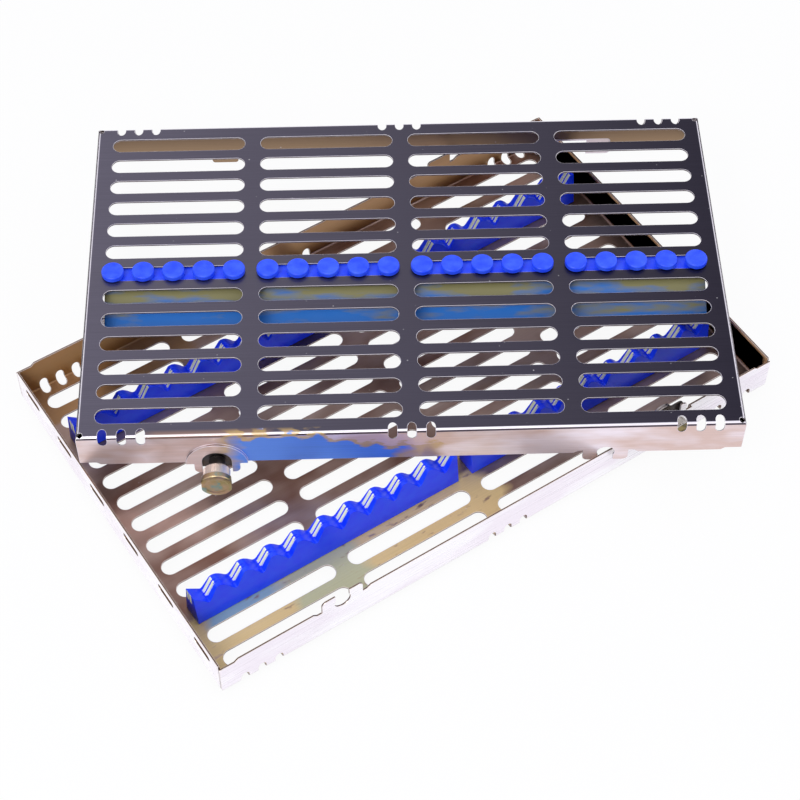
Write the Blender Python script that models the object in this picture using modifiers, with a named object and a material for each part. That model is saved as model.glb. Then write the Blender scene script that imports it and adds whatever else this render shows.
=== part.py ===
"""Stainless cassette for dental instruments.

Two equal pressed trays, one turned over as the lid. The lid is off its locks and lies skewed on
the rim of the base. Blue silicone racks stand on the base floor and blue silicone lips hang under
the lid, all held by round plugs pulled through the slots. Each tray carries one quarter-turn lock.

Axes: X along the base, -Y towards its front wall, +Z up. Origin: on the surface it stands on,
below the middle of the lid.
"""
import math

import bmesh
import bpy
from mathutils import Matrix, Vector

# Fits and tolerances
GAP = 0.0003
OVERRUN = 0.002
WELD = 0.000002

# Pressed tray
TRAY_WIDTH = 0.280
TRAY_DEPTH = 0.176
TRAY_HEIGHT = 0.019
SHEET = 0.0008
BEND_RADIUS = 0.0018
BEND_SEGMENTS = 3
CORNER_SLIT = 0.0004
RELIEF_RADIUS = 0.0012
RIM_STEP = 0.0014
RIM_STEP_LENGTH = 0.007
RIM_RAMP = 0.0018
TAB_RELIEF = 0.004

# Slots in the flat of the tray
SLOT_ROWS = 13
SLOT_COLUMNS = 4
SLOT_WIDTH = 0.0075
SLOT_WEB = 0.0072
SIDE_LAND = 0.004
FRONT_LAND = 0.0048
SLOT_COLUMN_PITCH = (TRAY_WIDTH - 2 * SIDE_LAND) / SLOT_COLUMNS
SLOT_ROW_PITCH = (TRAY_DEPTH - 2 * FRONT_LAND) / SLOT_ROWS
SLOT_LENGTH = SLOT_COLUMN_PITCH - SLOT_WEB
SLOT_SEGMENTS = 3

# Groups of three notches across the long bends
NOTCH_GROUPS = 3
NOTCH_GROUP_FROM_END = 0.019
NOTCH_GROUP_PITCH = TRAY_WIDTH / 2 - NOTCH_GROUP_FROM_END
NOTCHES_PER_GROUP = 3
NOTCH_PITCH = 0.008
NOTCH_WIDTH = 0.0038
NOTCH_ON_FLAT = 0.0045
NOTCH_ON_WALL = 0.0052
NOTCH_SEGMENTS = 3

# Oblong holes in the short walls
SIDE_HOLES = 6
SIDE_HOLE_PITCH = TRAY_DEPTH / SIDE_HOLES
SIDE_HOLE_LENGTH = 0.0125
SIDE_HOLE_WIDTH = 0.0035
SIDE_HOLE_BELOW_RIM = 0.0055

# Open hook on the front wall, which slips round the other tray's spindle
LOCK_FROM_END = 0.0577
LOCK_X = TRAY_WIDTH / 2 - LOCK_FROM_END
HOOK_WIDTH = 0.0194
HOOK_RISE = 0.0053
HOOK_CORNER = 0.0022
HOOK_HOLE_RADIUS = 0.00375
HOOK_MOUTH = 0.0065
HOOK_LIP = 0.0012
LIP_SEGMENTS = 3

# Embossed half-round seat of the lock, pushed out of the front wall
EMBOSS_OFFSET = 0.0011
EMBOSS_RADIUS = 0.0123
SEAT_TAB_WIDTH = 0.0194
SEAT_TAB_RISE = 0.0062
SEAT_TAB_CORNER = 0.0026
SEAT_SLOT_RADIUS = 0.0063
SEAT_SLOT_BELOW_RIM = 0.0015
ROUND_SEGMENTS = 8

# Fork and tongue of the back wall
FORK_WIDTH = 0.0366
FORK_BELOW_RIM = 0.0068
FORK_RISE = 0.0052
FORK_CORNER = 0.0025
FORK_SIDE_STEP = 0.0004
FORK_MOUTH = 0.0131
FORK_MOUTH_BELOW_RIM = 0.0038
TONGUE_WIDTH = 0.0124
TONGUE_RISE = 0.0048
TONGUE_CORNER = 0.0015

# Quarter-turn lock
SPINDLE_RADIUS = 0.0035
SPINDLE_FLATS = 0.0058
SPINDLE_END_RADIUS = 0.0025
SPINDLE_END_CHAMFER = 0.0004
KNOB_STANDOFF = 0.003
BAND_RADIUS = 0.0057
BAND_LENGTH = 0.0054
FLANGE_RADIUS = 0.0071
FLANGE_THICKNESS = 0.003
FLANGE_FLATS = 0.0125
FLANGE_CHAMFER = 0.0006
KNOB_BORE_DEPTH = 0.006
KEEPER_WIDTH = 0.0194
KEEPER_RISE = 0.0050
KEEPER_FOOT = 0.0032
KEEPER_CORNER = 0.003
WASHER_RADIUS = 0.0052
WASHER_THICKNESS = 0.0008
RING_RADIUS = 0.0048
RING_THICKNESS = 0.001
RING_MOUTH = 0.003
SPINDLE_TAIL = 0.0008
TURNED_STEPS = 16

# Silicone plugs shared by racks and lips
PLUG_COUNT = 5
PLUG_NECK_RADIUS = 0.0031
PLUG_END_ROOM = 0.0007
PLUG_PITCH = (SLOT_LENGTH - 2 * (PLUG_NECK_RADIUS + PLUG_END_ROOM)) / (PLUG_COUNT - 1)
PLUG_HEAD_RADIUS = 0.00495
PLUG_HEAD_HEIGHT = 0.0027
PLUG_ROOT = 0.0008
LIP_PLUG_STEPS = 10
RACK_PLUG_STEPS = 6

# Racks on the base floor
RACK_SPACE = 0.007
RACK_LENGTH = 2 * SLOT_COLUMN_PITCH - RACK_SPACE
RACK_NOTCHES = 10
RACK_BELOW_RIM = 0.0006
RACK_HEIGHT = TRAY_HEIGHT - SHEET - GAP - RACK_BELOW_RIM
RACK_FOOT_WIDTH = 0.0102
RACK_TOP_WIDTH = 0.0062
RACK_NOTCH_DEPTH = 0.0070
RACK_FRONT_ROW = 11
RACK_BACK_ROW = 3
# Each tooth as shares of its pitch and of the notch depth: a steep side, a round crest, a long fall
TOOTH_ACROSS_SHARES = (0.0, 0.07, 0.32, 0.40, 0.50, 0.62, 0.93)
TOOTH_UP_SHARES = (0.0, 0.06, 0.88, 1.0, 0.97, 0.80, 0.08)

# Lips under the lid
LIP_ROW = 7
LIP_FLANGE_WIDTH = 0.0100
LIP_FLANGE_THICKNESS = 0.0022
LIP_REACH = 0.0220
LIP_ABOVE_FORK = 0.002
LIP_DROP = TRAY_HEIGHT - FORK_RISE - LIP_ABOVE_FORK
LIP_ROOT_THICKNESS = 0.0042
LIP_TIP_THICKNESS = 0.0018

# The lid as it lies on the base, with the base's walls in the mouths of its hook and fork
LID_YAW = math.radians(-31.5)
LID_FORK_REACH = 0.04433
LID_HOOK_REACH = 0.0129
LID_X = TRAY_WIDTH / 2 - LOCK_X * math.cos(LID_YAW) - LID_FORK_REACH
LID_Y = -LOCK_X * math.sin(LID_YAW) - LID_HOOK_REACH
FEET = PLUG_HEAD_HEIGHT + GAP

RIM = TRAY_HEIGHT
BLANK_TOP = RIM + max(HOOK_RISE, TONGUE_RISE) + OVERRUN
HALF_WIDTH = TRAY_WIDTH / 2
HALF_DEPTH = TRAY_DEPTH / 2


def clear_scene():
    for old in list(bpy.data.objects):
        bpy.data.objects.remove(old, do_unlink=True)


def new_collection(name):
    collection = bpy.data.collections.new(name)
    bpy.context.scene.collection.children.link(collection)
    return collection


def new_material(name, colour, roughness, metallic):
    material = bpy.data.materials.new(name)
    material.use_nodes = True
    shader = material.node_tree.nodes["Principled BSDF"]
    shader.inputs["Base Color"].default_value = (*colour, 1)
    shader.inputs["Roughness"].default_value = roughness
    shader.inputs["Metallic"].default_value = metallic
    return material


def evaluated_mesh(item):
    bpy.context.view_layer.update()
    graph = bpy.context.evaluated_depsgraph_get()
    return bpy.data.meshes.new_from_object(item.evaluated_get(graph), depsgraph=graph)


def place(name, mesh, collection, parent=None, material=None):
    item = bpy.data.objects.new(name, mesh)
    collection.objects.link(item)
    item.parent = parent
    if material:
        mesh.materials.clear()
        mesh.materials.append(material)
    return item


def remove(item):
    bpy.data.objects.remove(item, do_unlink=True)


def arc(centre_x, centre_y, radius, start, end, segments):
    """Points along an arc, its angles in degrees."""
    angles = [math.radians(start + (end - start) * step / segments) for step in range(segments + 1)]
    return [(centre_x + radius * math.cos(angle), centre_y + radius * math.sin(angle)) for angle in angles]


def oblong(centre_x, centre_y, length, width, segments):
    """A slot with full round ends, lying along the first axis."""
    radius = width / 2
    reach = length / 2 - radius
    right = arc(centre_x + reach, centre_y, radius, -90, 90, segments)
    left = arc(centre_x - reach, centre_y, radius, 90, 270, segments)
    return right + left


def turned_over(outline):
    return [(-across, up) for across, up in outline][::-1]


def prism_mesh(name, outlines, thickness, matrix):
    """Flat outlines extruded evenly to both sides, then put in place by the matrix."""
    curve = bpy.data.curves.new(name, "CURVE")
    curve.dimensions = "2D"
    curve.fill_mode = "BOTH"
    curve.extrude = thickness / 2
    for outline in outlines:
        spline = curve.splines.new("POLY")
        spline.points.add(len(outline) - 1)
        for point, (across, up) in zip(spline.points, outline):
            point.co = (across, up, 0, 1)
        spline.use_cyclic_u = True
    drawn = place(name, curve, bpy.context.scene.collection)
    mesh = evaluated_mesh(drawn)
    remove(drawn)
    mesh.name = name
    body = bmesh.new()
    body.from_mesh(mesh)
    bmesh.ops.remove_doubles(body, verts=body.verts, dist=WELD)
    bmesh.ops.transform(body, matrix=matrix, verts=body.verts)
    bmesh.ops.recalc_face_normals(body, faces=body.faces)
    body.to_mesh(mesh)
    body.free()
    return mesh


def along_z(low, high):
    """Matrix for an outline drawn in X and Y and extruded from low to high in Z."""
    return Matrix.Translation((0, 0, (low + high) / 2))


def along_y(low, high):
    """Matrix for an outline drawn in X and Z and extruded from low to high in Y."""
    return Matrix.Translation((0, (low + high) / 2, 0)) @ Matrix.Rotation(math.pi / 2, 4, "X")


def along_x(low, high):
    """Matrix for an outline drawn in Y and Z and extruded from low to high in X."""
    turn = Matrix(((0, 0, 1, 0), (1, 0, 0, 0), (0, 1, 0, 0), (0, 0, 0, 1)))
    return Matrix.Translation(((low + high) / 2, 0, 0)) @ turn


def combine(target, tool_mesh, operation, tools, solver="EXACT"):
    """Cut or join the target with a tool that stays in the scene as a wire guide."""
    tool = place(tool_mesh.name, tool_mesh, tools, target.parent)
    tool.hide_render = True
    tool.display_type = "WIRE"
    step = target.modifiers.new(tool_mesh.name, "BOOLEAN")
    step.operation = operation
    step.solver = solver
    step.object = tool
    return tool


def slot_columns():
    first = -(SLOT_COLUMNS - 1) / 2 * SLOT_COLUMN_PITCH
    return [first + column * SLOT_COLUMN_PITCH for column in range(SLOT_COLUMNS)]


def row_place(row):
    """Distance of a slot row from the middle of the tray, with row 1 at the back."""
    return ((SLOT_ROWS + 1) / 2 - row) * SLOT_ROW_PITCH


def notch_places():
    places = []
    for group in range(NOTCH_GROUPS):
        middle = (group - (NOTCH_GROUPS - 1) / 2) * NOTCH_GROUP_PITCH
        for member in range(NOTCHES_PER_GROUP):
            places.append(middle + (member - (NOTCHES_PER_GROUP - 1) / 2) * NOTCH_PITCH)
    return places


def flat_openings():
    """Slots and corner relief holes, seen from above."""
    outlines = []
    for row in range(1, SLOT_ROWS + 1):
        for across in slot_columns():
            outlines.append(oblong(across, row_place(row), SLOT_LENGTH, SLOT_WIDTH, SLOT_SEGMENTS))
    for side in (-1, 1):
        for end in (-1, 1):
            across = side * (HALF_WIDTH - BEND_RADIUS)
            along = end * (HALF_DEPTH - BEND_RADIUS)
            outlines.append(arc(across, along, RELIEF_RADIUS, 0, 315, 7))
    return outlines


def bend_notches():
    """Notches as seen square to the bend, from the flat (positive) to the wall (negative)."""
    radius = NOTCH_WIDTH / 2
    slope = math.sqrt(0.5)
    outlines = []
    for across in notch_places():
        outline = arc(across, NOTCH_ON_FLAT * slope - radius, radius, 0, 180, NOTCH_SEGMENTS)
        outline += arc(across, radius - NOTCH_ON_WALL * slope, radius, 180, 360, NOTCH_SEGMENTS)
        outlines.append(outline)
    return outlines


def side_holes():
    up = RIM - SIDE_HOLE_BELOW_RIM
    places = [(hole - (SIDE_HOLES - 1) / 2) * SIDE_HOLE_PITCH for hole in range(SIDE_HOLES)]
    return [oblong(along, up, SIDE_HOLE_LENGTH, SIDE_HOLE_WIDTH, NOTCH_SEGMENTS) for along in places]


def rim_side(side, tab_x, tab_half):
    """The rim from the wall's end to the foot of its tab, with a step at the end and beside the tab."""
    step = RIM - RIM_STEP
    end = side * HALF_WIDTH
    foot = tab_x + side * tab_half
    return [(end + side * OVERRUN, step), (end - side * RIM_STEP_LENGTH, step),
            (end - side * (RIM_STEP_LENGTH + RIM_RAMP), RIM), (foot + side * TAB_RELIEF, RIM),
            (foot + side * (TAB_RELIEF - RIM_RAMP), step), (foot, step)]


def rim_waste(tab_x, tab_width, tab_rise, corner, opening=()):
    """All that is trimmed off a long wall above its rim, round the one tab that stays in its plane."""
    half = tab_width / 2
    top = RIM + tab_rise - corner
    over = BLANK_TOP + OVERRUN
    outline = rim_side(-1, tab_x, half)
    outline += arc(tab_x - half + corner, top, corner, 180, 90, NOTCH_SEGMENTS)
    outline += opening
    outline += arc(tab_x + half - corner, top, corner, 90, 0, NOTCH_SEGMENTS)
    outline += rim_side(1, tab_x, half)[::-1]
    return outline + [(HALF_WIDTH + OVERRUN, over), (-HALF_WIDTH - OVERRUN, over)]


def hook_keyhole():
    """Round hole at the level of the rim, with a narrower mouth that opens past it."""
    half = HOOK_MOUTH / 2
    rise = math.sqrt(HOOK_HOLE_RADIUS ** 2 - half ** 2)
    angle = math.degrees(math.atan2(rise, half))
    lip = RIM + HOOK_RISE - HOOK_LIP
    outline = arc(-LOCK_X - half - HOOK_LIP, lip, HOOK_LIP, 90, 0, LIP_SEGMENTS)
    outline += arc(-LOCK_X, RIM, HOOK_HOLE_RADIUS, 180 - angle, 360 + angle, ROUND_SEGMENTS)
    outline += arc(-LOCK_X + half + HOOK_LIP, lip, HOOK_LIP, 180, 90, LIP_SEGMENTS)
    return outline


def seat_outline(radius, tab_half, rise, corner):
    """Half-round below the rim with a tab above it."""
    half_round = arc(0, RIM, radius, 180, 360, ROUND_SEGMENTS)
    right = arc(tab_half - corner, RIM + rise - corner, corner, 0, 90, NOTCH_SEGMENTS)
    left = arc(-tab_half + corner, RIM + rise - corner, corner, 90, 180, NOTCH_SEGMENTS)
    outline = half_round + [(tab_half, RIM)] + right + left + [(-tab_half, RIM)]
    return [(across + LOCK_X, up) for across, up in outline]


def seat_hollow():
    """Room behind the embossed seat, open past the rim."""
    over = RIM + HOOK_RISE + SEAT_TAB_RISE
    half_round = arc(0, RIM, EMBOSS_RADIUS, 180, 360, ROUND_SEGMENTS)
    outline = half_round + [(EMBOSS_RADIUS, over), (-EMBOSS_RADIUS, over)]
    return [(across + LOCK_X, up) for across, up in outline]


def seat_slot():
    """Arched slot of the seat, open past the tab."""
    over = RIM + SEAT_TAB_RISE + OVERRUN
    radius = SEAT_SLOT_RADIUS
    arch = arc(0, RIM - SEAT_SLOT_BELOW_RIM, radius, 180, 360, ROUND_SEGMENTS)
    outline = arch + [(radius, over), (-radius, over)]
    return [(across + LOCK_X, up) for across, up in outline]


def rounded_fork(half, low, high, corner):
    """Rectangle with all its corners round, centred on the fork."""
    outline = arc(-half + corner, low + corner, corner, 180, 270, NOTCH_SEGMENTS)
    outline += arc(half - corner, low + corner, corner, 270, 360, NOTCH_SEGMENTS)
    outline += arc(half - corner, high - corner, corner, 0, 90, NOTCH_SEGMENTS)
    outline += arc(-half + corner, high - corner, corner, 90, 180, NOTCH_SEGMENTS)
    return [(across - LOCK_X, up) for across, up in outline]


def fork_hollow():
    """Room behind the embossed fork, with a shallow step in the rim on both sides of it."""
    half = FORK_WIDTH / 2 - SHEET
    low = RIM - FORK_BELOW_RIM + SHEET
    over = RIM + FORK_RISE + OVERRUN
    corner = FORK_CORNER - SHEET
    outline = arc(-half + corner, low + corner, corner, 180, 270, NOTCH_SEGMENTS)
    outline += arc(half - corner, low + corner, corner, 270, 360, NOTCH_SEGMENTS)
    step = RIM - FORK_SIDE_STEP
    wide = half + SHEET + OVERRUN
    outline += [(half, step), (wide, step), (wide, over), (-wide, over), (-wide, step), (-half, step)]
    return [(across - LOCK_X, up) for across, up in outline]


def fork_mouth():
    half = FORK_MOUTH / 2
    low = RIM - FORK_MOUTH_BELOW_RIM
    over = RIM + FORK_RISE + OVERRUN
    return [(-LOCK_X - half, low), (-LOCK_X + half, low), (-LOCK_X + half, over), (-LOCK_X - half, over)]


def corner_slits():
    """Slits beside the ends of the short walls, where the folded walls meet."""
    outlines = []
    for side in (-1, 1):
        for end in (-1, 1):
            near = side * (HALF_WIDTH - SHEET - CORNER_SLIT)
            far = side * (HALF_WIDTH + OVERRUN)
            wall = end * (HALF_DEPTH - SHEET)
            inner = end * (HALF_DEPTH - SHEET - CORNER_SLIT)
            outlines.append([(near, wall), (far, wall), (far, inner), (near, inner)])
    return outlines


def blank_box(name):
    """Bent sheet as an open box, tall enough for the tabs, before anything is cut."""
    mesh = bpy.data.meshes.new(name)
    body = bmesh.new()
    bmesh.ops.create_cube(body, size=1)
    bmesh.ops.scale(body, vec=(TRAY_WIDTH, TRAY_DEPTH, BLANK_TOP), verts=body.verts)
    bmesh.ops.translate(body, vec=(0, 0, BLANK_TOP / 2), verts=body.verts)
    lid = [face for face in body.faces if face.normal.z > WELD]
    bmesh.ops.delete(body, geom=lid, context="FACES")
    floor = [edge for edge in body.edges if all(vert.co.z < BEND_RADIUS for vert in edge.verts)]
    bmesh.ops.bevel(body, geom=floor, offset=BEND_RADIUS, segments=BEND_SEGMENTS, profile=0.5,
                    affect="EDGES")
    body.to_mesh(mesh)
    body.free()
    return mesh


def press_tray(name, parts, tools, parent, material):
    """The tray with its walls up: hook at -X and lock seat at +X in front, fork and tongue behind."""
    tray = place(name, blank_box(name), parts, parent, material)
    shell = tray.modifiers.new("sheet", "SOLIDIFY")
    shell.thickness = SHEET
    shell.offset = -1
    shell.use_even_offset = True
    front = -HALF_DEPTH
    back = HALF_DEPTH
    slit_middle = HALF_DEPTH - SHEET - CORNER_SLIT / 2
    over = BLANK_TOP + OVERRUN

    waste = rim_waste(-LOCK_X, HOOK_WIDTH, HOOK_RISE, HOOK_CORNER, hook_keyhole())
    span = (front - OVERRUN, -slit_middle)
    combine(tray, prism_mesh("front rim cutter", [waste], span[1] - span[0], along_y(*span)), "DIFFERENCE", tools)
    waste = rim_waste(LOCK_X, TONGUE_WIDTH, TONGUE_RISE, TONGUE_CORNER)
    span = (slit_middle, back + OVERRUN)
    combine(tray, prism_mesh("back rim cutter", [waste], span[1] - span[0], along_y(*span)), "DIFFERENCE", tools)

    end = slit_middle - CORNER_SLIT / 4
    ends = [[(-end, RIM), (end, RIM), (end, over), (-end, over)]]
    width = TRAY_WIDTH + OVERRUN
    combine(tray, prism_mesh("side rim cutter", ends, width, along_x(-width / 2, width / 2)),
            "DIFFERENCE", tools)

    seat_front = front - EMBOSS_OFFSET
    seat_wall = EMBOSS_RADIUS + SHEET
    span = (seat_front, front + SHEET / 2)
    cup = [seat_outline(seat_wall, SEAT_TAB_WIDTH / 2, SEAT_TAB_RISE, SEAT_TAB_CORNER)]
    combine(tray, prism_mesh("seat form", cup, span[1] - span[0], along_y(*span)), "UNION", tools)
    span = (seat_front + SHEET, front + SHEET + OVERRUN)
    combine(tray, prism_mesh("seat hollow cutter", [seat_hollow()], span[1] - span[0], along_y(*span)),
            "DIFFERENCE", tools)
    span = (seat_front - OVERRUN, front + SHEET + OVERRUN)
    combine(tray, prism_mesh("seat slot cutter", [seat_slot()], span[1] - span[0], along_y(*span)),
            "DIFFERENCE", tools)

    fork_back = back + EMBOSS_OFFSET
    span = (back - SHEET / 2, fork_back)
    form = [rounded_fork(FORK_WIDTH / 2, RIM - FORK_BELOW_RIM, RIM + FORK_RISE, FORK_CORNER)]
    combine(tray, prism_mesh("fork form", form, span[1] - span[0], along_y(*span)), "UNION", tools)
    span = (back - SHEET - OVERRUN, fork_back - SHEET)
    combine(tray, prism_mesh("fork hollow cutter", [fork_hollow()], span[1] - span[0], along_y(*span)),
            "DIFFERENCE", tools, "MANIFOLD")
    span = (back - SHEET - OVERRUN, fork_back + OVERRUN)
    combine(tray, prism_mesh("fork mouth cutter", [fork_mouth()], span[1] - span[0], along_y(*span)),
            "DIFFERENCE", tools, "MANIFOLD")

    low, high = -OVERRUN, BEND_RADIUS
    combine(tray, prism_mesh("flat cutter", flat_openings(), high - low, along_z(low, high)), "DIFFERENCE", tools)
    reach = NOTCH_ON_WALL + OVERRUN
    for end, name_of_side in ((-1, "front"), (1, "back")):
        slant = Matrix.Rotation(end * math.pi / 4, 4, "X") @ along_z(-OVERRUN, reach)
        if end > 0:
            slant = slant @ Matrix.Rotation(math.pi, 4, "Z")
        edge = Matrix.Translation((0, end * HALF_DEPTH, 0)) @ slant
        combine(tray, prism_mesh(name_of_side + " notch cutter", bend_notches(), reach + OVERRUN, edge),
                "DIFFERENCE", tools)
    combine(tray, prism_mesh("side hole cutter", side_holes(), width, along_x(-width / 2, width / 2)),
            "DIFFERENCE", tools)
    low, high = BEND_RADIUS - GAP, over
    combine(tray, prism_mesh("corner slit cutter", corner_slits(), high - low, along_z(low, high)),
            "DIFFERENCE", tools)
    return tray


def turned(name, profile, steps, tools):
    """A closed turned shape: the profile runs from the axis at the top, down the outside, to the axis."""
    mesh = bpy.data.meshes.new(name)
    body = bmesh.new()
    chain = [body.verts.new((radius, 0, up)) for radius, up in profile]
    for upper, lower in zip(chain, chain[1:]):
        body.edges.new((upper, lower))
    body.to_mesh(mesh)
    body.free()
    item = place(name, mesh, tools)
    screw = item.modifiers.new("turn", "SCREW")
    screw.steps = steps
    screw.render_steps = steps
    screw.use_merge_vertices = True
    screw.merge_threshold = WELD
    done = evaluated_mesh(item)
    remove(item)
    done.name = name
    body = bmesh.new()
    body.from_mesh(done)
    bmesh.ops.remove_doubles(body, verts=body.verts, dist=WELD)
    bmesh.ops.recalc_face_normals(body, faces=body.faces)
    body.to_mesh(done)
    body.free()
    done.shade_smooth()
    done.set_sharp_from_angle(angle=math.radians(30))
    return done


def ring_profile(outer, inner, low, high):
    """Closed section of a flat ring."""
    return [(inner, high), (outer, high), (outer, low), (inner, low), (inner, high)]


def plug_mesh(name, steps, tools):
    """One plug, hanging down from the sheet: its neck fills the slot and its head lies outside."""
    top = SHEET + GAP + PLUG_ROOT
    head = -GAP
    end = head - PLUG_HEAD_HEIGHT
    profile = [(0, top), (PLUG_NECK_RADIUS, top), (PLUG_NECK_RADIUS, head), (PLUG_HEAD_RADIUS, head),
               (PLUG_HEAD_RADIUS, end), (0, end)]
    return turned(name, profile, steps, tools)


def add_plugs(strip, row, side, plug, tools):
    """Ten plugs in the two slots that the strip lies over, joined to it."""
    tool = combine(strip, plug.copy(), "UNION", tools)
    tool.location = (side * SLOT_COLUMN_PITCH - SLOT_COLUMN_PITCH / 2 - (PLUG_COUNT - 1) / 2 * PLUG_PITCH,
                     row_place(row), 0)
    for count, pitch in ((PLUG_COUNT, PLUG_PITCH), (2, SLOT_COLUMN_PITCH)):
        repeat = tool.modifiers.new("repeat", "ARRAY")
        repeat.count = count
        repeat.use_relative_offset = False
        repeat.use_constant_offset = True
        repeat.constant_offset_displace = (pitch, 0, 0)


def rack_outline():
    """Side view of a rack: a flat foot and ten saw-tooth notches."""
    foot = SHEET + GAP
    top = foot + RACK_HEIGHT
    valley = top - RACK_NOTCH_DEPTH
    pitch = RACK_LENGTH / RACK_NOTCHES
    start = -RACK_LENGTH / 2
    outline = [(start, top)]
    for notch in range(RACK_NOTCHES):
        first = start + (notch + 0.5) * pitch
        shares = zip(TOOTH_ACROSS_SHARES, TOOTH_UP_SHARES)
        for across, up in shares:
            if first + across * pitch < -start - WELD:
                outline.append((first + across * pitch, valley + up * RACK_NOTCH_DEPTH))
    outline += [(-start, outline[-1][1]), (-start, foot), (start, foot)]
    return outline[::-1]


def rack(name, row, side, plug, parts, tools, parent, material):
    """Rack over two neighbouring slots, tapered towards its crest."""
    mesh = prism_mesh(name, [rack_outline()], RACK_FOOT_WIDTH, along_y(-RACK_FOOT_WIDTH / 2, RACK_FOOT_WIDTH / 2))
    foot = SHEET + GAP
    body = bmesh.new()
    body.from_mesh(mesh)
    for vert in body.verts:
        share = (vert.co.z - foot) / RACK_HEIGHT
        half = (RACK_FOOT_WIDTH + (RACK_TOP_WIDTH - RACK_FOOT_WIDTH) * share) / 2
        vert.co.y = math.copysign(half, vert.co.y)
    bmesh.ops.translate(body, vec=(side * SLOT_COLUMN_PITCH, row_place(row), 0), verts=body.verts)
    body.to_mesh(mesh)
    body.free()
    item = place(name, mesh, parts, parent, material)
    add_plugs(item, row, side, plug, tools)
    return item


def lip_outline():
    """Section of a lip: a flange under the slots and a soft tapered blade that leans forward."""
    high = SHEET + GAP
    low = high + LIP_FLANGE_THICKNESS
    half = LIP_FLANGE_WIDTH / 2
    tip = SHEET + LIP_DROP
    return [(-half, high), (-half, low), (-LIP_REACH, tip - LIP_TIP_THICKNESS),
            (-LIP_REACH + LIP_TIP_THICKNESS / 2, tip), (-half + LIP_ROOT_THICKNESS, low + LIP_ROOT_THICKNESS / 2),
            (half, low), (half, high)]


def lip(name, side, plug, parts, tools, parent, material):
    """Lip over two neighbouring slots of the middle row."""
    start = side * SLOT_COLUMN_PITCH - RACK_LENGTH / 2
    mesh = prism_mesh(name, [lip_outline()], RACK_LENGTH, along_x(start, start + RACK_LENGTH))
    item = place(name, mesh, parts, parent, material)
    add_plugs(item, LIP_ROW, side, plug, tools)
    return item


def flats_cutter(name, across, far, low, high):
    """Two blocks that leave a turned piece with parallel flats."""
    near = across / 2
    outlines = [[(near, low), (far, low), (far, high), (near, high)],
                [(-far, low), (-near, low), (-near, high), (-far, high)]]
    return prism_mesh(name, outlines, 2 * far, along_y(-far, far))


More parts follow.
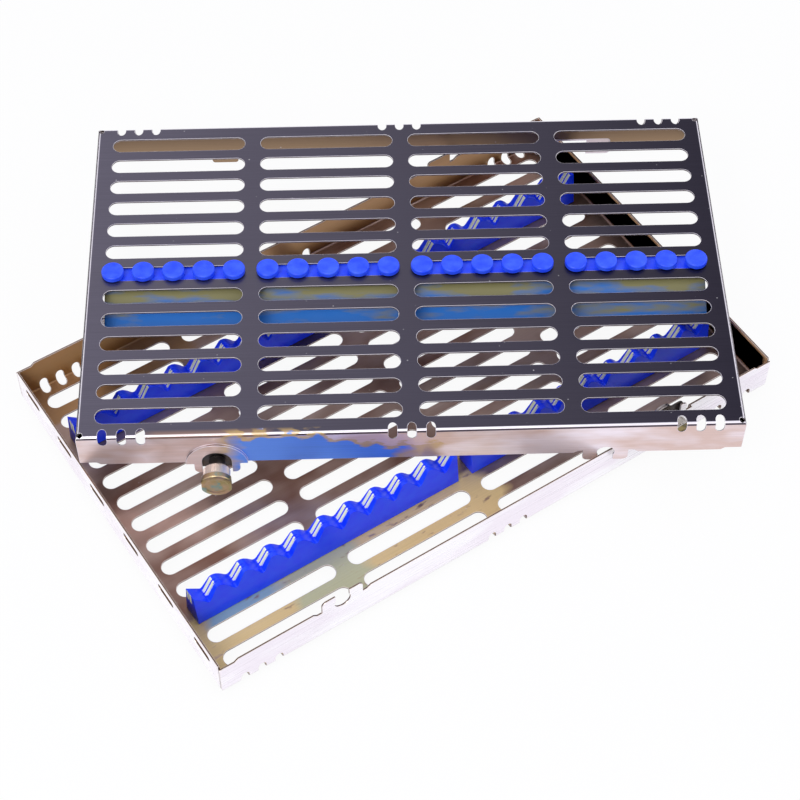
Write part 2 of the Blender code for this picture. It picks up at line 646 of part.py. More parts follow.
def lock(prefix, parts, tools, parent, steel, bright):
    """Keeper plate, knob, spindle, spring washer and ring of one tray, in the tray's own axes."""
    keeper_out = SHEET + GAP
    keeper_in = keeper_out + SHEET
    axis = Vector((LOCK_X, -HALF_DEPTH, RIM))
    outward = Matrix.Rotation(math.pi / 2, 4, "X")

    bore = SPINDLE_END_RADIUS + GAP
    half = KEEPER_WIDTH / 2
    low = KEEPER_FOOT
    high = RIM + KEEPER_RISE
    corner = KEEPER_CORNER
    plate = [(-half, low), (half, low)]
    plate += arc(half - corner, high - corner, corner, 0, 90, NOTCH_SEGMENTS)
    plate += arc(-half + corner, high - corner, corner, 90, 180, NOTCH_SEGMENTS)
    hole = arc(0, RIM, bore, 360, 360 / ROUND_SEGMENTS, ROUND_SEGMENTS - 1)
    outlines = [[(across + LOCK_X, up) for across, up in outline] for outline in (plate, hole)]
    span = (-HALF_DEPTH + keeper_out, -HALF_DEPTH + keeper_in)
    place(prefix + "_keeper", prism_mesh(prefix + "_keeper", outlines, SHEET, along_y(*span)),
          parts, parent, steel)

    back = EMBOSS_OFFSET + KNOB_STANDOFF
    shoulder = back + BAND_LENGTH
    face = shoulder + FLANGE_THICKNESS
    socket = SPINDLE_RADIUS + GAP
    depth = back + KNOB_BORE_DEPTH
    edge = FLANGE_RADIUS - FLANGE_CHAMFER
    profile = [(0, face), (edge, face), (FLANGE_RADIUS, face - FLANGE_CHAMFER),
               (FLANGE_RADIUS, shoulder + FLANGE_CHAMFER), (edge, shoulder), (BAND_RADIUS, shoulder),
               (BAND_RADIUS, back), (socket, back), (socket, depth), (0, depth)]
    knob = place(prefix + "_knob", turned(prefix + "_knob", profile, TURNED_STEPS, tools), parts, parent, bright)
    cutter = flats_cutter(prefix + " flange flats", FLANGE_FLATS, FLANGE_RADIUS + OVERRUN,
                          shoulder - OVERRUN / 2, face + OVERRUN)
    combine(knob, cutter, "DIFFERENCE", tools)

    keeper_face = -keeper_out
    neck = keeper_face + GAP
    tail = -keeper_in - GAP - WASHER_THICKNESS - GAP - RING_THICKNESS - SPINDLE_TAIL
    end = SPINDLE_END_RADIUS - SPINDLE_END_CHAMFER
    profile = [(0, depth - GAP), (SPINDLE_RADIUS, depth - GAP), (SPINDLE_RADIUS, neck),
               (SPINDLE_END_RADIUS, neck), (SPINDLE_END_RADIUS, tail + SPINDLE_END_CHAMFER),
               (end, tail), (0, tail)]
    spindle = place(prefix + "_spindle", turned(prefix + "_spindle", profile, TURNED_STEPS, tools),
                    parts, parent, steel)
    cutter = flats_cutter(prefix + " spindle flats", SPINDLE_FLATS, SPINDLE_RADIUS + OVERRUN,
                          neck - OVERRUN / 4, back - GAP)
    combine(spindle, cutter, "DIFFERENCE", tools)

    high = -keeper_in - GAP
    low = high - WASHER_THICKNESS
    washer = turned(prefix + "_washer", ring_profile(WASHER_RADIUS, bore, low, high), TURNED_STEPS, tools)
    washer = place(prefix + "_washer", washer, parts, parent, steel)
    high = low - GAP
    low = high - RING_THICKNESS
    clip = turned(prefix + "_ring", ring_profile(RING_RADIUS, bore, low, high), TURNED_STEPS, tools)
    clip = place(prefix + "_ring", clip, parts, parent, steel)
    half = RING_MOUTH / 2
    mouth = [[(-half, -RING_RADIUS - OVERRUN), (half, -RING_RADIUS - OVERRUN), (half, 0), (-half, 0)]]
    depth = RING_THICKNESS + OVERRUN
    cutter = prism_mesh(prefix + " ring mouth", mouth, depth, along_z(low - OVERRUN / 2, high + OVERRUN / 2))
    combine(clip, cutter, "DIFFERENCE", tools)

    placed = Matrix.Translation(axis) @ outward
    for piece in (knob, spindle, washer, clip):
        piece.matrix_local = placed
        for step in piece.modifiers:
            step.object.matrix_local = placed


def build():
    clear_scene()
    parts = new_collection("instrument_cassette")
    tools = new_collection("cutters")
    pressed = new_material("pressed stainless", (0.46, 0.44, 0.47), 0.34, 1.0)
    turned_steel = new_material("turned stainless", (0.42, 0.38, 0.36), 0.28, 1.0)
    spring_steel = new_material("spring steel", (0.36, 0.35, 0.36), 0.32, 1.0)
    silicone = new_material("blue silicone", (0.013, 0.062, 0.85), 0.42, 0.0)

    base = place("base_frame", None, parts)
    lid = place("lid_frame", None, parts)
    base.location = (-LID_X, -LID_Y, FEET)
    lid.location = (0, 0, FEET + 2 * TRAY_HEIGHT + GAP)
    lid.rotation_euler = (0, math.pi, LID_YAW)

    tray = press_tray("base_tray", parts, tools, base, pressed)
    upper = evaluated_mesh(tray)
    upper.name = "lid_tray"
    place("lid_tray", upper, parts, lid, pressed)

    plug = plug_mesh("rack plug", RACK_PLUG_STEPS, tools)
    for name, row in (("front", RACK_FRONT_ROW), ("back", RACK_BACK_ROW)):
        rack(name + "_left_rack", row, -1, plug, parts, tools, base, silicone)
        rack(name + "_right_rack", row, 1, plug, parts, tools, base, silicone)
    plug = plug_mesh("lip plug", LIP_PLUG_STEPS, tools)
    lip("left_lip", 1, plug, parts, tools, lid, silicone)
    lip("right_lip", -1, plug, parts, tools, lid, silicone)

    lock("base", parts, tools, base, spring_steel, turned_steel)
    lock("lid", parts, tools, lid, spring_steel, turned_steel)


build()
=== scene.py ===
import math

import bmesh
import bpy
from mathutils import Matrix, Vector


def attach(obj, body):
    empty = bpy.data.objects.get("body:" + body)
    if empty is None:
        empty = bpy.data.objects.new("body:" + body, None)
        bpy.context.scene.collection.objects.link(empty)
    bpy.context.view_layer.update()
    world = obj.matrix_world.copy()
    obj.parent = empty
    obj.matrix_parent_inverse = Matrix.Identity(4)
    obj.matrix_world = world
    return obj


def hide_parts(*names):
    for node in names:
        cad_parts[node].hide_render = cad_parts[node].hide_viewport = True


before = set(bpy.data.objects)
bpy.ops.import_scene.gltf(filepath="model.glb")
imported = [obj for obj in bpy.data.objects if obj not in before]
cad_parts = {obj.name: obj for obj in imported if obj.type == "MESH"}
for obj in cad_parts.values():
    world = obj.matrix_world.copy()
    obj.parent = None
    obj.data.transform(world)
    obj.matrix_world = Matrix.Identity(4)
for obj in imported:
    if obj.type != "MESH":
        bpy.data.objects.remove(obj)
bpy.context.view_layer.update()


# The cassette lies on a white table under a soft box, seen from its front left corner and from
# well above. The eye is 1 m away. The white of the table is a colour and no strong light, and
# what shines in metal sees the same white.
EYE = (-0.31988, -0.48028, 0.73666)
EYE_TURN = (35.99, -0.131, -33.279)
LENS = 91.96
TABLE_SIZE = 6.0
WHITE_TONE = "#FFFFFF"


def linear(tone):
    """A #RRGGBB tone as linear red, green, blue and alpha."""
    parts = [int(tone[i:i + 2], 16) / 255 for i in (1, 3, 5)]
    return [p / 12.92 if p <= 0.04045 else ((p + 0.055) / 1.055) ** 2.4 for p in parts] + [1.0]


def node(tree, kind, settings=None, **inputs):
    """Adds a node. Settings are its own properties; inputs are sockets, each set or linked."""
    made = tree.nodes.new(kind)
    for key, value in (settings or {}).items():
        setattr(made, key, value)
    for key, value in inputs.items():
        numbered = key[0] == "i" and key[1:].isdigit()
        socket = made.inputs[int(key[1:]) if numbered else key.replace("_", " ")]
        if isinstance(value, bpy.types.NodeSocket):
            tree.links.new(value, socket)
        else:
            socket.default_value = value
    return made


def blank_material(name):
    """A material with only its output, and that output."""
    material = bpy.data.materials.new(name)
    material.use_nodes = True
    material.node_tree.nodes.clear()
    return material, material.node_tree, material.node_tree.nodes.new("ShaderNodeOutputMaterial")


def linked(name, data):
    thing = bpy.data.objects.new(name, data)
    bpy.context.scene.collection.objects.link(thing)
    return thing


lens = bpy.data.cameras.new("camera")
lens.lens = LENS
lens.sensor_width = 36
lens.clip_end = 20
camera = linked("camera", lens)
camera.location = EYE
camera.rotation_euler = [math.radians(a) for a in EYE_TURN]
bpy.context.scene.camera = camera
bpy.context.scene.view_settings.view_transform = "Standard"

world = bpy.data.worlds.new("studio")
world.use_nodes = True
bpy.context.scene.world = world
sky = world.node_tree
sky.nodes.clear()
rays = node(sky, "ShaderNodeLightPath")
direct = node(sky, "ShaderNodeMath", {"operation": "MAXIMUM"},
              i0=rays.outputs["Is Camera Ray"], i1=rays.outputs["Is Glossy Ray"])
direct = node(sky, "ShaderNodeMath", {"operation": "MAXIMUM"},
              i0=direct.outputs[0], i1=rays.outputs["Is Transmission Ray"])
ambient = node(sky, "ShaderNodeBackground", Color=linear("#F2F4FF"), Strength=0.8)
white = node(sky, "ShaderNodeBackground", Color=linear(WHITE_TONE), Strength=1.0)
both = node(sky, "ShaderNodeMixShader", i0=direct.outputs[0], i1=ambient.outputs[0], i2=white.outputs[0])
node(sky, "ShaderNodeOutputWorld", Surface=both.outputs[0])

sheet = bmesh.new()
bmesh.ops.create_grid(sheet, x_segments=1, y_segments=1, size=TABLE_SIZE / 2)
table_mesh = bpy.data.meshes.new("table")
sheet.to_mesh(table_mesh)
sheet.free()
table = linked("table", table_mesh)
material, tree, output = blank_material("white card")
rays = node(tree, "ShaderNodeLightPath")
lit = node(tree, "ShaderNodeBsdfDiffuse", Color=linear("#E6E6EA"))
glow = node(tree, "ShaderNodeEmission", Color=linear(WHITE_TONE), Strength=1.0)
direct = node(tree, "ShaderNodeMath", {"operation": "MAXIMUM"},
              i0=rays.outputs["Is Camera Ray"], i1=rays.outputs["Is Glossy Ray"])
share = node(tree, "ShaderNodeMath", {"operation": "MULTIPLY"}, i0=direct.outputs[0], i1=0.93)
card = node(tree, "ShaderNodeMixShader", i0=share.outputs[0], i1=lit.outputs[0], i2=glow.outputs[0])
tree.links.new(card.outputs[0], output.inputs["Surface"])
table_mesh.materials.append(material)


def soft_box(name, place, towards, width, height, watts, tone):
    """A rectangular lamp that faces a point of the object."""
    data = bpy.data.lights.new(name, "AREA")
    data.shape = "RECTANGLE"
    data.size, data.size_y = width, height
    data.energy = watts
    data.color = linear(tone)[:3]
    lamp = linked(name, data)
    lamp.location = place
    lamp.rotation_euler = (Vector(towards) - Vector(place)).to_track_quat("-Z", "Y").to_euler()


soft_box("key soft box", (-0.9, -0.5, 1.1), (0, 0, 0.02), 0.7, 0.7, 10.0, "#FFFDF6")
soft_box("fill soft box", (0.9, -0.7, 0.9), (0, 0, 0.02), 0.9, 0.9, 4.0, "#F4F6FF")


# The trays are one pressing used twice: stainless sheet 0.8 mm thick, punched with slots, folded
# up on four sides and notched over the long bends. The front wall has an open hook and an embossed
# seat for the lock, the back wall an embossed fork and a tongue. Sizes in this file are in mm.
MM = 0.001
WIDE, DEEP, TALL = 280.0, 176.0, 19.0
GAUGE = 0.8
BEND = 1.8
SLOT = (60.8, 7.5)
SLOT_PITCH = (68.0, 12.8)
COLUMNS, ROWS = 4, 13
LOCK_AT = 82.3
NOTCH_GROUP, NOTCH_PITCH = 121.0, 8.0
ROUND = 12

FEET, LID_GAP, LID_TURN = 3.0, 0.3, -31.5
base_place = Matrix.Translation(Vector((-25.5, -30.1, FEET)) * MM) @ Matrix.Scale(MM, 4)
turned_over = Matrix.Rotation(math.radians(LID_TURN), 4, "Z") @ Matrix.Rotation(math.pi, 4, "Y")
lid_place = (Matrix.Translation(Vector((0, 0, FEET + 2 * TALL + LID_GAP)) * MM)
             @ turned_over @ Matrix.Scale(MM, 4))


def block(shape, low, high):
    """A box between two corners."""
    made = bmesh.ops.create_cube(shape, size=1)["verts"]
    bmesh.ops.scale(shape, vec=[h - l for l, h in zip(low, high)], verts=made)
    bmesh.ops.translate(shape, vec=[(h + l) / 2 for l, h in zip(low, high)], verts=made)
    return made


def round_edges(shape, made, axis, radius, steps=ROUND, where=lambda middle: True):
    """Rounds the edges of a block that run along an axis and lie in the right place."""
    edges = set()
    for vert in made:
        for edge in vert.link_edges:
            line = edge.verts[0].co - edge.verts[1].co
            if abs(line[axis]) > 0.9 * line.length and where((edge.verts[0].co + edge.verts[1].co) / 2):
                edges.add(edge)
    bmesh.ops.bevel(shape, geom=list(edges), offset=radius, offset_type="OFFSET", segments=steps,
                    profile=0.5, affect="EDGES", material=-1)


def rod(shape, radius, low, high, axis, centre, steps=48):
    """A round bar along an axis, with its other two coordinates at the centre."""
    turn = (Matrix.Rotation(math.pi / 2, 4, "Y"), Matrix.Rotation(math.pi / 2, 4, "X"), Matrix.Identity(4))[axis]
    middle = list(centre)
    middle.insert(axis, (low + high) / 2)
    return bmesh.ops.create_cone(shape, cap_ends=True, cap_tris=False, segments=steps, radius1=radius,
                                 radius2=radius, depth=high - low,
                                 matrix=Matrix.Translation(middle) @ turn)["verts"]


def whole(shape):
    return shape.verts[:] + shape.edges[:] + shape.faces[:]


def solid_of(shape, name):
    bmesh.ops.recalc_face_normals(shape, faces=shape.faces)
    mesh = bpy.data.meshes.new(name)
    shape.to_mesh(mesh)
    shape.free()
    return linked(name, mesh)


def worked(target, steps):
    """The target after each step's tool is cut from it or joined to it, as a bmesh. Tools are used up."""
    for index, (operation, tool) in enumerate(steps):
        step = target.modifiers.new("step", "BOOLEAN")
        step.operation = operation
        step.solver = "MANIFOLD"
        step.object = solid_of(tool, "tool %d" % index)
    bpy.context.view_layer.update()
    graph = bpy.context.evaluated_depsgraph_get()
    done = bmesh.new()
    done.from_mesh(target.evaluated_get(graph).data)
    for tool in [step.object for step in target.modifiers if step.type == "BOOLEAN"]:
        bpy.data.objects.remove(tool, do_unlink=True)
    bpy.data.objects.remove(target, do_unlink=True)
    return done


def slots_tool():
    shape = bmesh.new()
    radius = SLOT[1] / 2 - 0.002
    for row in range(ROWS):
        for column in range(COLUMNS):
            x = (column - (COLUMNS - 1) / 2) * SLOT_PITCH[0]
            y = (row - (ROWS - 1) / 2) * SLOT_PITCH[1]
            made = block(shape, (x - SLOT[0] / 2, y - SLOT[1] / 2, -2), (x + SLOT[0] / 2, y + SLOT[1] / 2, 2))
            round_edges(shape, made, 2, radius, 2 * ROUND)
    return shape


def corner_tool():
    """Relief holes of the corners, and the slits that part the folded walls."""
    shape = bmesh.new()
    for x in (-1, 1):
        for y in (-1, 1):
            rod(shape, 1.2, -2, BEND - 0.1, 2, (x * (WIDE / 2 - BEND), y * (DEEP / 2 - BEND)), 16)
            near, far = x * (WIDE / 2 - GAUGE - 0.4), x * (WIDE / 2 + 2)
            out, inn = y * (DEEP / 2 - GAUGE), y * (DEEP / 2 - GAUGE - 0.4)
            block(shape, (min(near, far), min(out, inn), BEND), (max(near, far), max(out, inn), TALL + 2))
    return shape


def notch_tool(end):
    """Nine notches across a long bend, cut at half a right angle to it."""
    shape = bmesh.new()
    flat, wall = 4.5 * math.sqrt(0.5), 5.2 * math.sqrt(0.5)
    for group in (-1, 0, 1):
        for member in (-1, 0, 1):
            x = group * NOTCH_GROUP + member * NOTCH_PITCH
            made = block(shape, (x - 1.9, -wall, -2), (x + 1.9, flat, 7))
            round_edges(shape, made, 2, 1.89, 2 * ROUND)
    if end > 0:
        bmesh.ops.rotate(shape, matrix=Matrix.Rotation(math.pi, 3, "Z"), verts=shape.verts)
    bmesh.ops.rotate(shape, matrix=Matrix.Rotation(end * math.pi / 4, 3, "X"), verts=shape.verts)
    bmesh.ops.translate(shape, vec=(0, end * DEEP / 2, 0), verts=shape.verts)
    return shape


def side_hole_tool():
    shape = bmesh.new()
    for hole in range(6):
        y = (hole - 2.5) * DEEP / 6
        made = block(shape, (-WIDE, y - 6.25, TALL - 7.25), (WIDE, y + 6.25, TALL - 3.75))
        round_edges(shape, made, 0, 1.74, 2 * ROUND)
    return shape


def wedge(shape, x_low, x_high, y, ramp_low, ramp_high):
    """Trims 1.4 mm off the rim, with a slope of 1.8 mm at the ends that ask for one."""
    made = block(shape, (x_low, y[0], TALL - 1.4), (x_high, y[1], TALL + 2))
    for vert in made:
        if vert.co.z > TALL:
            slope = 1.8 * (vert.co.z - TALL + 1.4) / 1.4
            if ramp_low and abs(vert.co.x - x_low) < 0.01:
                vert.co.x -= slope
            elif ramp_high and abs(vert.co.x - x_high) < 0.01:
                vert.co.x += slope


def rim_tool():
    """Steps of the rim at the corners and beside hook and tongue."""
    shape = bmesh.new()
    front = (-DEEP / 2 - 2, -DEEP / 2 + GAUGE + 0.2)
    back = (DEEP / 2 - GAUGE - 0.2, DEEP / 2 + 2)
    for y in (front, back):
        wedge(shape, -WIDE / 2 - 2, -WIDE / 2 + 7, y, False, True)
        wedge(shape, WIDE / 2 - 7, WIDE / 2 + 2, y, True, False)
    for y, x, half in ((front, -LOCK_AT, 9.7), (back, LOCK_AT, 6.2)):
        wedge(shape, x - half - 2.2, x - half, y, True, False)
        wedge(shape, x + half, x + half + 2.2, y, False, True)
    return shape


def tab(x, half, rise, corner, wall):
    """A flat tab with round top corners that carries on the wall."""
    shape = bmesh.new()
    made = block(shape, (x - half, wall[0], TALL - 3), (x + half, wall[1], TALL + rise))
    round_edges(shape, made, 1, corner, ROUND, lambda middle: middle.z > TALL)
    return shape


def hook_tool():
    shape = bmesh.new()
    rod(shape, 3.75, -DEEP / 2 - 2, -DEEP / 2 + 3, 1, (-LOCK_AT, TALL))
    return shape


def hook_mouth_tool():
    shape = bmesh.new()
    block(shape, (-LOCK_AT - 3.25, -DEEP / 2 - 2.1, TALL + 0.5), (-LOCK_AT + 3.25, -DEEP / 2 + 3.1, TALL + 9))
    return shape


def seat_form():
    shape = bmesh.new()
    front = -DEEP / 2
    rod(shape, 13.1, front - 1.1, front + 0.4, 1, (LOCK_AT, TALL), 96)
    bmesh.ops.bisect_plane(shape, geom=whole(shape), plane_co=(0, 0, TALL), plane_no=(0, 0, 1), clear_outer=True)
    bmesh.ops.holes_fill(shape, edges=shape.edges)
    return shape


def seat_tab():
    shape = bmesh.new()
    front = -DEEP / 2
    made = block(shape, (LOCK_AT - 9.7, front - 1.1, TALL - 4), (LOCK_AT + 9.7, front - 0.3, TALL + 6.2))
    round_edges(shape, made, 1, 2.6, ROUND, lambda middle: middle.z > TALL)
    return shape


def seat_hollow():
    shape = bmesh.new()
    rod(shape, 12.3, -DEEP / 2 - 0.3, -DEEP / 2 + 3, 1, (LOCK_AT, TALL), 96)
    return shape


def seat_slot():
    shape = bmesh.new()
    made = block(shape, (LOCK_AT - 6.3, -DEEP / 2 - 3, TALL - 7.8),
                 (LOCK_AT + 6.3, -DEEP / 2 + 3.2, TALL + 12))
    round_edges(shape, made, 1, 6.29, 2 * ROUND, lambda middle: middle.z < TALL)
    return shape


def fork_form():
    shape = bmesh.new()
    back = DEEP / 2
    made = block(shape, (-LOCK_AT - 18.3, back - 0.4, TALL - 6.8), (-LOCK_AT + 18.3, back + 1.1, TALL + 5.2))
    round_edges(shape, made, 1, 2.5)
    return shape


def fork_hollow():
    shape = bmesh.new()
    back = DEEP / 2
    made = block(shape, (-LOCK_AT - 17.5, back - 3, TALL - 6), (-LOCK_AT + 17.5, back + 0.3, TALL + 8))
    round_edges(shape, made, 1, 1.7, ROUND, lambda middle: middle.z < TALL)
    return shape


def fork_sides():
    shape = bmesh.new()
    back = DEEP / 2
    for side in (-1, 1):
        x = -LOCK_AT + side * 18.9
        block(shape, (x - 2, back - 3.1, TALL - 0.4), (x + 2, back + 0.31, TALL + 8.1))
    return shape


def fork_mouth():
    shape = bmesh.new()
    block(shape, (-LOCK_AT - 6.55, DEEP / 2 - 3.3, TALL - 3.8), (-LOCK_AT + 6.55, DEEP / 2 + 3.3, TALL + 8.3))
    return shape


pressing = bmesh.new()
block(pressing, (-WIDE / 2, -DEEP / 2, 0), (WIDE / 2, DEEP / 2, TALL))
top = [face for face in pressing.faces if face.calc_center_median().z > TALL - 0.1]
bmesh.ops.delete(pressing, geom=top, context="FACES")
low = [edge for edge in pressing.edges if all(vert.co.z < 0.1 for vert in edge.verts)]
bmesh.ops.bevel(pressing, geom=low, offset=BEND, offset_type="OFFSET", segments=6, profile=0.5,
                affect="EDGES", material=-1)
bmesh.ops.recalc_face_normals(pressing, faces=pressing.faces)
if sum(face.normal.z for face in pressing.faces if abs(face.normal.z) > 0.99) > 0:
    bmesh.ops.reverse_faces(pressing, faces=pressing.faces)
folded_mesh = bpy.data.meshes.new("pressing")
pressing.to_mesh(folded_mesh)
pressing.free()
folded = linked("pressing", folded_mesh)
gauge = folded.modifiers.new("gauge", "SOLIDIFY")
gauge.thickness = GAUGE
gauge.offset = -1
gauge.use_even_offset = True
front_wall = (-DEEP / 2, -DEEP / 2 + GAUGE)
back_wall = (DEEP / 2 - GAUGE, DEEP / 2)
pressed = worked(folded, [
    ("DIFFERENCE", rim_tool()),
    ("UNION", tab(-LOCK_AT, 9.7, 5.3, 2.2, front_wall)), ("DIFFERENCE", hook_tool()),
    ("DIFFERENCE", hook_mouth_tool()),
    ("UNION", tab(LOCK_AT, 6.2, 4.8, 1.5, back_wall)),
    ("UNION", seat_form()), ("UNION", seat_tab()), ("DIFFERENCE", seat_hollow()), ("DIFFERENCE", seat_slot()),
    ("UNION", fork_form()), ("DIFFERENCE", fork_hollow()), ("DIFFERENCE", fork_sides()),
    ("DIFFERENCE", fork_mouth()),
    ("DIFFERENCE", slots_tool()), ("DIFFERENCE", corner_tool()), ("DIFFERENCE", notch_tool(-1)),
    ("DIFFERENCE", notch_tool(1)), ("DIFFERENCE", side_hole_tool())])
bmesh.ops.remove_doubles(pressed, verts=pressed.verts, dist=0.002)
bmesh.ops.dissolve_limit(pressed, angle_limit=math.radians(0.3), verts=pressed.verts, edges=pressed.edges,
                         use_dissolve_boundaries=False)


def from_core(place):
    """Distance from the middle of the bends: 1.0 on the inner face of the sheet, 1.8 on the outer."""
    side = max(abs(place.x) - WIDE / 2 + BEND, 0)
    end = max(abs(place.y) - DEEP / 2 + BEND, 0)
    low = max(BEND - place.z, 0)
    return max(math.hypot(side, low), math.hypot(end, low))


# Punched edges: 1 on the tumbled edge, which carries a painted highlight, 0.5 on the cut through the sheet, which
# carries painted shade
trim = pressed.faces.layers.float.new("trim")
for face in pressed.faces:
    depths = [from_core(vert.co) for vert in face.verts]
    face[trim] = 0.5 if min(depths) < 1.2 and max(depths) > 1.6 else 0.0
sharp = [edge for edge in pressed.edges if edge.calc_face_angle(0) > math.radians(40)]
tumbled = bmesh.ops.bevel(pressed, geom=sharp, offset=0.14, offset_type="OFFSET", segments=2, profile=0.5,
                          affect="EDGES", material=-1, clamp_overlap=False)
for face in tumbled["faces"]:
    face[trim] = 1.0


def finished(name, shape, place, material, body, nodes, smooth=20):
    """Puts a copy of a shape in place as a piece, and keeps its own coordinates in mm for its grain."""
    mesh = bpy.data.meshes.new(name)
    shape.to_mesh(mesh)
    own = mesh.attributes.new("own_place", "FLOAT_VECTOR", "POINT")
    for index, vert in enumerate(mesh.vertices):
        own.data[index].vector = vert.co
    mesh.transform(place)
    mesh.shade_smooth()
    mesh.set_sharp_from_angle(angle=math.radians(smooth))
    mesh.materials.append(material)
    piece = linked(name, mesh)
    # Large flat faces keep their own normals, and only the small ones beside them turn
    even = piece.modifiers.new("even shading", "WEIGHTED_NORMAL")
    even.weight = 100
    even.keep_sharp = True
    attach(piece, body)
    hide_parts(*nodes)


def mixed(tree, factor, first, second, blend="MIX"):
    made = node(tree, "ShaderNodeMix", {"data_type": "RGBA", "blend_type": blend}, i0=factor, i6=first, i7=second)
    return made.outputs[2]


def ranged(tree, value, low, high, to_low=0.0, to_high=1.0):
    made = node(tree, "ShaderNodeMapRange", Value=value, From_Min=low, From_Max=high, To_Min=to_low,
                To_Max=to_high)
    return made.outputs[0]


def maths(tree, operation, *values):
    sockets = {"i%d" % at: value for at, value in enumerate(values)}
    return node(tree, "ShaderNodeMath", {"operation": operation}, **sockets).outputs[0]


def vectors(tree, operation, *values):
    sockets = {"i%d" % at: value for at, value in enumerate(values)}
    return node(tree, "ShaderNodeVectorMath", {"operation": operation}, **sockets).outputs


def parted(tree, vector):
    """The three parts of a vector."""
    return node(tree, "ShaderNodeSeparateXYZ", i0=vector).outputs


def facing(tree):
    return parted(tree, node(tree, "ShaderNodeNewGeometry").outputs["Normal"])


def band(tree, value, low, high, soft):
    """1 between low and high, fading to 0 over a soft width."""
    rise = ranged(tree, value, low - soft, low)
    return maths(tree, "MULTIPLY", rise, ranged(tree, value, high + soft, high))


def cloudy(tree, place, size, detail=3.0):
    """Noise whose patches have the given sizes in mm."""
    scaled = node(tree, "ShaderNodeMapping", Vector=place, Scale=[1 / s for s in size])
    noise = node(tree, "ShaderNodeTexNoise", Vector=scaled.outputs[0], Scale=1.0, Detail=detail, Roughness=0.55)
    return noise.outputs[0]


